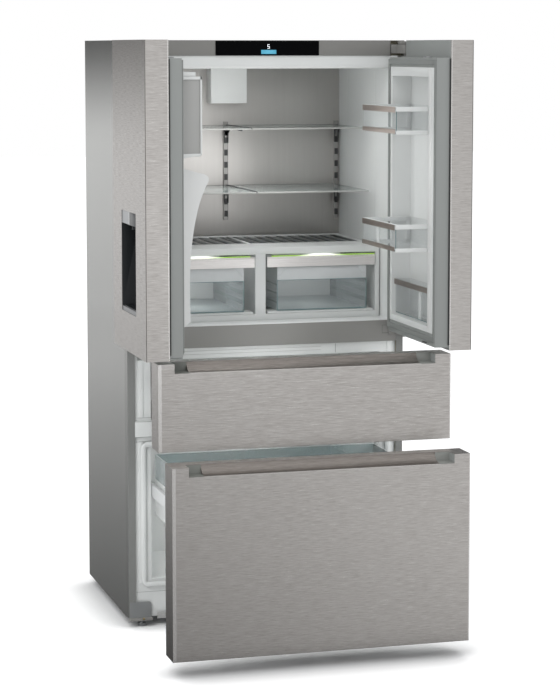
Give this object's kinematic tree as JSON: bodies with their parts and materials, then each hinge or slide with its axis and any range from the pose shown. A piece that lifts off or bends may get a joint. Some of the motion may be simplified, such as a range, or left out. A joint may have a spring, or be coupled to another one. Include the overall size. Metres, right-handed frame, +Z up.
{
  "type": "refrigerator",
  "caption": "Stainless steel fridge-freezer with French doors over two pull-out drawers, shown open, with shelves, crispers, door bins and a dispenser.",
  "frame": {"origin": "on the floor, at the centre of the space that the object takes with its doors and drawers open as pictured", "axes": "+Z up, +Y from the doors to the rear panel, +X to the right as seen from the front"},
  "size_m": [0.9988, 1.241, 1.835],
  "materials": {
    "painted_sheet": "satin",
    "zinc_sheet": "satin",
    "foam": "matte",
    "white_plastic": "satin",
    "grey_plastic": "satin",
    "grey_metal": "satin",
    "black_glass": "gloss",
    "steel_front": "brushed",
    "grip_metal": "satin",
    "steel_hardware": "satin",
    "seal_rubber": "matte",
    "clear_glass": "gloss",
    "clear_plastic": "gloss",
    "dark_plastic": "gloss",
    "black_metal": "satin",
    "coil_metal": "satin",
    "roller_plastic": "matte"
  },
  "bodies": {
    "cabinet": {"back_panel": "zinc_sheet", "base_frame": "zinc_sheet", "cabinet_insulation": "foam", "cabinet_shell": "painted_sheet", "compressor": "black_metal", "condenser": "coil_metal", "crisper_cover_glass": "clear_glass", "crisper_frame": "white_plastic", "display_glass": "black_glass", "door_hinges": "grey_metal", "evaporator": "coil_metal", "filter_box": "white_plastic", "fixed_rails": "steel_hardware", "front_feet": "steel_hardware", "fridge_liner": "white_plastic", "fridge_rear_panel": "steel_front", "lower_crossbar": "white_plastic", "lower_shelf_glass": "clear_glass", "middle_liner": "white_plastic", "bottom_liner": "white_plastic", "shelf_ladders": "steel_hardware", "shelf_trims": "grey_plastic", "top_fascia": "grey_metal", "upper_crossbar": "grey_metal", "upper_shelf_glass": "clear_glass"},
    "left_door": {"left_door_skin": "steel_front", "left_door_frame": "grey_plastic", "left_door_liner": "white_plastic", "left_door_seal": "seal_rubber", "dispenser_housing": "dark_plastic", "drip_grille": "dark_plastic", "dispenser_cover": "white_plastic", "left_door_box": "white_plastic"},
    "dispenser_paddle": {"dispenser_paddle": "dark_plastic"},
    "right_door": {"right_door_skin": "steel_front", "right_door_frame": "grey_plastic", "right_door_liner": "white_plastic", "right_door_seal": "seal_rubber", "right_upper_bin": "clear_plastic", "right_middle_bin": "clear_plastic", "right_lower_bin": "clear_plastic"},
    "middle_drawer": {"middle_front_skin": "steel_front", "middle_front_panel": "grey_plastic", "middle_seal": "seal_rubber", "middle_grip": "grip_metal", "middle_box": "white_plastic", "middle_drawer_rails": "steel_hardware"},
    "bottom_drawer": {"bottom_front_skin": "steel_front", "bottom_front_panel": "grey_plastic", "bottom_seal": "seal_rubber", "bottom_grip": "grip_metal", "bottom_tub": "white_plastic", "bottom_glass_wall": "clear_glass", "bottom_drawer_rails": "steel_hardware"},
    "middle_rail_stage": {"middle_rail_stage": "steel_hardware"},
    "bottom_rail_stage": {"bottom_rail_stage": "steel_hardware"},
    "left_crisper": {"left_crisper": "clear_plastic"},
    "right_crisper": {"right_crisper": "clear_plastic"},
    "condenser_fan": {"condenser_fan": "roller_plastic"},
    "rear_rollers": {"rear_rollers": "roller_plastic"}
  },
  "joints": [
    {"name": "left_door_hinge", "type": "hinge", "parent": "cabinet", "child": "left_door", "pos_m": [-0.4365, -0.0646, 1.3715], "axis": [0, 0, -1], "range_deg": [-90, 25]},
    {"name": "right_door_hinge", "type": "hinge", "parent": "cabinet", "child": "right_door", "pos_m": [0.4365, -0.0646, 1.3715], "axis": [0, 0, 1], "range_deg": [-90, 25]},
    {"name": "dispenser_paddle_hinge", "type": "hinge", "parent": "left_door", "child": "dispenser_paddle", "pos_m": [-0.4634, -0.2656, 1.274], "axis": [0, -1, 0], "range_deg": [0, 10], "stiffness_Nm_per_rad": 0.6},
    {"name": "middle_drawer_slide", "type": "slide", "parent": "cabinet", "child": "middle_drawer", "axis": [0, -1, 0], "range_m": [-0.32, 0.08]},
    {"name": "middle_rail_stage_slide", "type": "slide", "parent": "cabinet", "child": "middle_rail_stage", "axis": [0, -1, 0], "range_m": [-0.16, 0.04]},
    {"name": "bottom_drawer_slide", "type": "slide", "parent": "cabinet", "child": "bottom_drawer", "axis": [0, -1, 0], "range_m": [-0.493, 0.04]},
    {"name": "bottom_rail_stage_slide", "type": "slide", "parent": "cabinet", "child": "bottom_rail_stage", "axis": [0, -1, 0], "range_m": [-0.2465, 0.02]},
    {"name": "left_crisper_slide", "type": "slide", "parent": "cabinet", "child": "left_crisper", "axis": [0, -1, 0], "range_m": [0, 0.2]},
    {"name": "right_crisper_slide", "type": "slide", "parent": "cabinet", "child": "right_crisper", "axis": [0, -1, 0], "range_m": [0, 0.2]},
    {"name": "condenser_fan_spin", "type": "hinge", "parent": "cabinet", "child": "condenser_fan", "pos_m": [-0.055, 0.5055, 0.15], "axis": [1, 0, 0], "continuous": true},
    {"name": "rear_roller_spin", "type": "hinge", "parent": "cabinet", "child": "rear_rollers", "pos_m": [0, 0.5805, 0.018], "axis": [1, 0, 0], "continuous": true}
  ],
  "couplings": [
    {"joint": "middle_rail_stage_slide", "follows": "middle_drawer_slide", "ratio": 0.5},
    {"joint": "bottom_rail_stage_slide", "follows": "bottom_drawer_slide", "ratio": 0.5}
  ]
}
